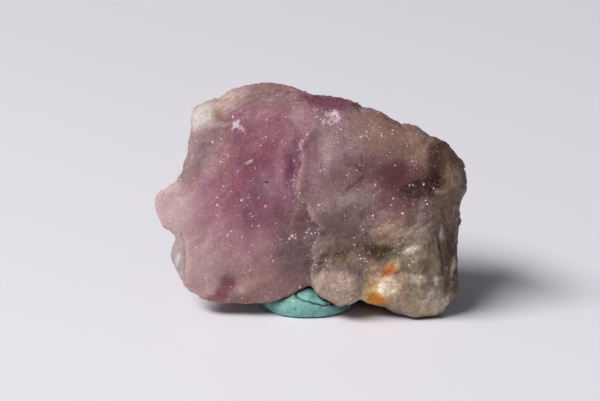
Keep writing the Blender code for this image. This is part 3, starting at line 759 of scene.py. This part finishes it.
crumb_shares = np.full(len(x), CRUMBS_EVERYWHERE)
for x0, z0, reach, number in CRUMB_CLUSTERS:
    crumb_shares += facing * number * np.exp(-((x - x0) ** 2 + (z - z0) ** 2) / reach**2 * 1.6)
crumb_shares += CRUMBS_BY_LEDGE * facing * np.exp(-((jagged_ledge / 0.25) ** 2)) * (1.0 - above_ledge)
clumped = ease(0.5 + CRUMB_CLUMPING * noise_at(in_stone, CRUMB_WAVE, 9.0))
crumb_shares *= 1.6 * clumped * floor_keep * (1.0 - 0.6 * flank)

white_crumbs = new_piece("white_crumbs", stone.data.copy())
crumb_layer = white_crumbs.data.attributes.new("crumbs", "FLOAT", "POINT")
crumb_layer.data.foreach_set("value", crumb_shares / MM**2)
scattered = white_crumbs.modifiers.new("grains", "NODES")
scattered.node_group = crumb_tree(crumb_finish)
sockets = {item.name: item.identifier for item in scattered.node_group.interface.items_tree}
scattered[sockets["Smallest"]] = CRUMB_SIZE[0] * MM
scattered[sockets["Largest"]] = CRUMB_SIZE[1] * MM
graph = bpy.context.evaluated_depsgraph_get()
crumb_mesh = bpy.data.meshes.new_from_object(white_crumbs.evaluated_get(graph), depsgraph=graph)
white_crumbs.modifiers.clear()
white_crumbs.data = crumb_mesh
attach(white_crumbs, "root")


# Odd grains: a black ore grain in the violet face and smaller dark ones, and a few peach-coloured crumbs of
# feldspar beside the ledge. Each is a single angular crystal of its own mineral, grown half into the skin,
# with faces a little duller than glass. Each spot is a place and a size.
ODD_GRAINS = [
    ("ore_grains", "#0d090a", 0.45, [
        (-4.48, 12.2, 0.17), (-0.6, 19.6, 0.08), (-8.5, 20.4, 0.09), (15.1, 12.9, 0.08),
    ]),
    ("peach_crumbs", "#c9a78f", 0.50, [
        (-1.8, 6.9, 0.24), (-2.05, 6.6, 0.16), (-1.55, 6.7, 0.15), (-1.5, 7.1, 0.10), (-1.25, 10.9, 0.20),
        (-1.1, 11.2, 0.12),
    ]),
]
ODD_IOR = 1.6
ODD_SUNK = 0.3
ODD_SHAPE = (0.8, 1.25)
ODD_SEED = 8
OUT_OF_REACH = 1000.0

# Each grain finds the nearest place of the main face, so the rest of the skin is put out of reach
skin_tree = kdtree.KDTree(len(x))
for number, seen in enumerate(facing > 0.5):
    skin_tree.insert((x[number], z[number], 0.0 if seen else OUT_OF_REACH), number)
skin_tree.balance()
draw = np.random.default_rng(ODD_SEED)
for name, odd_colour, odd_roughness, spots in ODD_GRAINS:
    work = bmesh.new()
    for spot_x, spot_z, size in spots:
        number = skin_tree.find((spot_x, spot_z, 0.0))[1]
        spot = Vector(places[number]) - Vector(normals[number]) * (ODD_SUNK * size * MM)
        added = bmesh.ops.create_icosphere(work, subdivisions=1, radius=size * MM)["verts"]
        for vertex in added:
            vertex.co = spot + vertex.co * draw.uniform(*ODD_SHAPE)
    mesh = bpy.data.meshes.new(name)
    work.to_mesh(mesh)
    work.free()
    finish, tree, shader = new_material(name)
    fill(tree, shader, {"Base Color": opaque(odd_colour), "Roughness": odd_roughness, "IOR": ODD_IOR})
    mesh.materials.append(finish)
    grains = new_piece(name, mesh)
    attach(grains, "root")


# The putty: a ball of green mounting putty, pinched flat between the stone and the table. It keeps the folds
# of the pinch, with painted shade in them and along the stone, and specks of dust and lint that stuck to it.
PUTTY_VOXEL = 0.085
PUTTY_SMOOTHING = 3
PUTTY_SWELL = 0.12
PUTTY_LUMPS = [(2.2, 0.10), (0.8, 0.04), (0.35, 0.02)]
PUTTY_FLOOR_FADE = 0.35
PUTTY_FOLDS = [
    [(-2.4, 1.75), (-1.7, 1.25), (-0.9, 0.55), (0.2, 0.20), (1.2, 0.0), (2.4, 0.15), (3.3, 0.55)],
    [(-3.6, 0.9), (-2.6, 1.2), (-1.7, 1.25)],
    [(0.9, 0.9), (1.6, 0.5), (2.4, 0.15)],
]
FOLD_WIDTH = 0.12
FOLD_DEPTH = 0.22
FOLD_WOBBLE = (0.7, 0.12)
LIP_HEIGHT = 0.05
LIP_AWAY = 0.28
LIP_WIDTH = 0.16
# Painted shade along the stone: how far from it the putty darkens, and how strongly
SHADED_RIM_REACH = 0.7
RIM_SHADE = 0.65

putty = welded_copy("putty_pad", "mounting_putty")
refine(putty, PUTTY_VOXEL, PUTTY_SMOOTHING)
putty_places, putty_normals = mesh_arrays(putty.data)
px, py, pz = to_stone(putty_places)
in_putty = np.array([px, py, pz]).T
putty_lumps = sum(height * noise_at(in_putty, wavelength, 11.0) for wavelength, height in PUTTY_LUMPS)
putty_lift = PUTTY_SWELL + putty_lumps
wobble = FOLD_WOBBLE[1] * noise_at(in_putty, FOLD_WOBBLE[0], 5.0)
# The folds are darkened with painted shade, and so is the putty near the stone
painted_putty_shade = np.zeros(len(px))
for fold in PUTTY_FOLDS:
    gap = line_distance(fold, px + wobble, pz + wobble)
    in_fold = ease(1.0 - gap / FOLD_WIDTH) * ease((2.0 - py) / 2.0)
    painted_putty_shade = np.maximum(painted_putty_shade, in_fold)
    putty_lift -= FOLD_DEPTH * in_fold
    putty_lift += LIP_HEIGHT * np.exp(-(((gap - LIP_AWAY) / LIP_WIDTH) ** 2))
putty_floor = ease(putty_places[:, 2] / MM / PUTTY_FLOOR_FADE)
putty_places += putty_normals * (putty_lift * putty_floor)[:, None] * MM
putty_places[:, 2] = np.maximum(putty_places[:, 2], 0.0)
putty.data.vertices.foreach_set("co", putty_places.ravel())
putty.data.update()

stone_tree = kdtree.KDTree(len(places))
for number, place in enumerate(places):
    stone_tree.insert(place, number)
stone_tree.balance()
to_stone_gap = np.array([stone_tree.find(place)[2] for place in putty_places]) / MM
# Painted shade: the putty is darker the nearer it lies to the stone above it
rim_shade = ease(1.0 - (to_stone_gap - 0.15) / SHADED_RIM_REACH + 0.5 * noise_at(in_putty, 0.45, 2.0))
putty_shade_layer = putty.data.attributes.new("painted_putty_shade", "FLOAT", "POINT")
putty_shade_layer.data.foreach_set("value", np.maximum(painted_putty_shade, RIM_SHADE * rim_shade))

# The putty is a soft oily clay: a dull skin, cloudy where it was kneaded, that picks up dust
PUTTY_TINTS = ("#5e948d", "#86bcb4")
# The dark green of the painted shade in the folds and along the stone
PUTTY_SHADE_COLOUR = "#24362f"
PUTTY_CLOUD_SIZE = 0.9
PUTTY_SPOTS = [
    (0.38, 0.10, 0.36, 0, 0.55, 1.0, "#39423a"),
    (0.38, 0.10, 0.30, 1, 0.78, 0.9, "#cfe0dc"),
]
PUTTY_SKIN_SIZE = 0.22
PUTTY_SKIN_DEPTH = 0.06
PUTTY_ROUGHNESS = 0.58
PUTTY_IOR = 1.5

putty_finish, tree, shader = new_material("mounting_putty")
where = add_node(tree, "ShaderNodeTexCoord").outputs["Object"]
cloud = add_node(
    tree, "ShaderNodeTexNoise",
    {"Vector": where, "Scale": 1.0 / (PUTTY_CLOUD_SIZE * MM), "Detail": 6.0, "Roughness": 0.7},
).outputs[0]
cloud_share = add_node(tree, "ShaderNodeMapRange", {"Value": cloud, 1: 0.35, 2: 0.65}).outputs[0]
clouded = add_node(
    tree, "ShaderNodeMix", {0: cloud_share, 6: opaque(PUTTY_TINTS[0]), 7: opaque(PUTTY_TINTS[1])},
    data_type="RGBA",
).outputs[2]
# Painted shade in the folds and along the stone darkens the putty's colour
putty_shade = add_node(tree, "ShaderNodeAttribute", attribute_name="painted_putty_shade").outputs["Fac"]
putty_shade_share = add_node(tree, "ShaderNodeMath", {0: putty_shade, 1: 0.9}, operation="MULTIPLY").outputs[0]
shaded_putty = add_node(
    tree, "ShaderNodeMix", {0: putty_shade_share, 6: clouded, 7: opaque(PUTTY_SHADE_COLOUR)}, data_type="RGBA"
).outputs[2]
colour = add_spots(tree, shaded_putty, where, 1.0, PUTTY_SPOTS)
skin = add_node(
    tree, "ShaderNodeTexNoise", {"Vector": where, "Scale": 1.0 / (PUTTY_SKIN_SIZE * MM), "Detail": 4.0}
).outputs[0]
bump = add_node(
    tree, "ShaderNodeBump", {"Height": skin, "Strength": 0.35, "Distance": PUTTY_SKIN_DEPTH * MM}
).outputs[0]
fill(tree, shader, {"Base Color": colour, "Normal": bump, "Roughness": PUTTY_ROUGHNESS, "IOR": PUTTY_IOR})
putty.data.materials.clear()
putty.data.materials.append(putty_finish)
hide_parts("putty_pad")
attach(putty, "root")


# The table: a seamless sheet of pale lilac-grey painted board, wide enough to fill every view. Its matt coat
# takes a soft shadow and shows no grain.
TABLE_HALF = 1.5
BOARD_COLOUR = "#e3e1e9"
BOARD_ROUGHNESS = 0.55
table_mesh = bpy.data.meshes.new("table")
work = bmesh.new()
bmesh.ops.create_grid(work, x_segments=1, y_segments=1, size=TABLE_HALF)
work.to_mesh(table_mesh)
work.free()
table = new_piece("table", table_mesh)
board, tree, shader = new_material("pale_board")
fill(tree, shader, {"Base Color": opaque(BOARD_COLOUR), "Roughness": BOARD_ROUGHNESS})
table_mesh.materials.append(board)


# The light: a soft box high on the left in front, a pale room all round, and the camera looking down at the
# main face from in front, square to it, with a slight roll.
KEY_TOWARDS = (-0.531, -0.386, 0.755)
KEY_DISTANCE = 1.0
KEY_SIZE = (0.80, 0.30)
KEY_POWER = 13.4
KEY_COLOUR = (1.0, 0.985, 0.965)
ROOM_COLOUR = "#eef0f8"
ROOM_STRENGTH = 0.155
ROOM_SEEN = 0.70
CAMERA_DISTANCE = 0.38
CAMERA_NEAREST = 0.01
VIEW_WIDTH = 0.0603
CAMERA_ROLL = math.radians(0.4)
AIM = (-1.1, 10.45)
SENSOR = 36.0


def look_along(thing, towards, place):
    """Puts a light or camera at a place, facing back along a direction."""
    thing.location = place
    thing.rotation_euler = Vector(towards).to_track_quat("Z", "Y").to_euler()
    bpy.context.scene.collection.objects.link(thing)


key_data = bpy.data.lights.new("soft_box", "AREA")
key_data.shape = "RECTANGLE"
key_data.size, key_data.size_y = KEY_SIZE
key_data.energy = KEY_POWER
key_data.color = KEY_COLOUR
key_direction = Vector(KEY_TOWARDS).normalized()
look_along(bpy.data.objects.new("soft_box", key_data), key_direction, key_direction * KEY_DISTANCE)

room = bpy.data.worlds.new("room")
room.use_nodes = True
tree = room.node_tree
seen = add_node(tree, "ShaderNodeLightPath").outputs["Is Camera Ray"]
room_light = add_node(tree, "ShaderNodeMapRange", {"Value": seen, 3: ROOM_STRENGTH, 4: ROOM_SEEN}).outputs[0]
fill(tree, tree.nodes["Background"], {"Color": opaque(ROOM_COLOUR), "Strength": room_light})
bpy.context.scene.world = room
bpy.context.scene.view_settings.view_transform = "Standard"

view_up = Vector((0.0, math.sin(LEAN), math.cos(LEAN)))
view_back = Vector((0.0, -math.cos(LEAN), math.sin(LEAN)))
stone_origin = Vector((STONE_ORIGIN[0], STONE_ORIGIN[1], 0.0)) * MM
aim = stone_origin + Vector((AIM[0] * MM, 0.0, 0.0)) + view_up * AIM[1] * MM
camera_data = bpy.data.cameras.new("camera")
camera_data.sensor_width = SENSOR
camera_data.lens = SENSOR * CAMERA_DISTANCE / VIEW_WIDTH
camera_data.clip_start = CAMERA_NEAREST
camera = bpy.data.objects.new("camera", camera_data)
look_along(camera, view_back, aim + view_back * CAMERA_DISTANCE)
camera.rotation_euler.rotate_axis("Z", CAMERA_ROLL)
bpy.context.scene.camera = camera
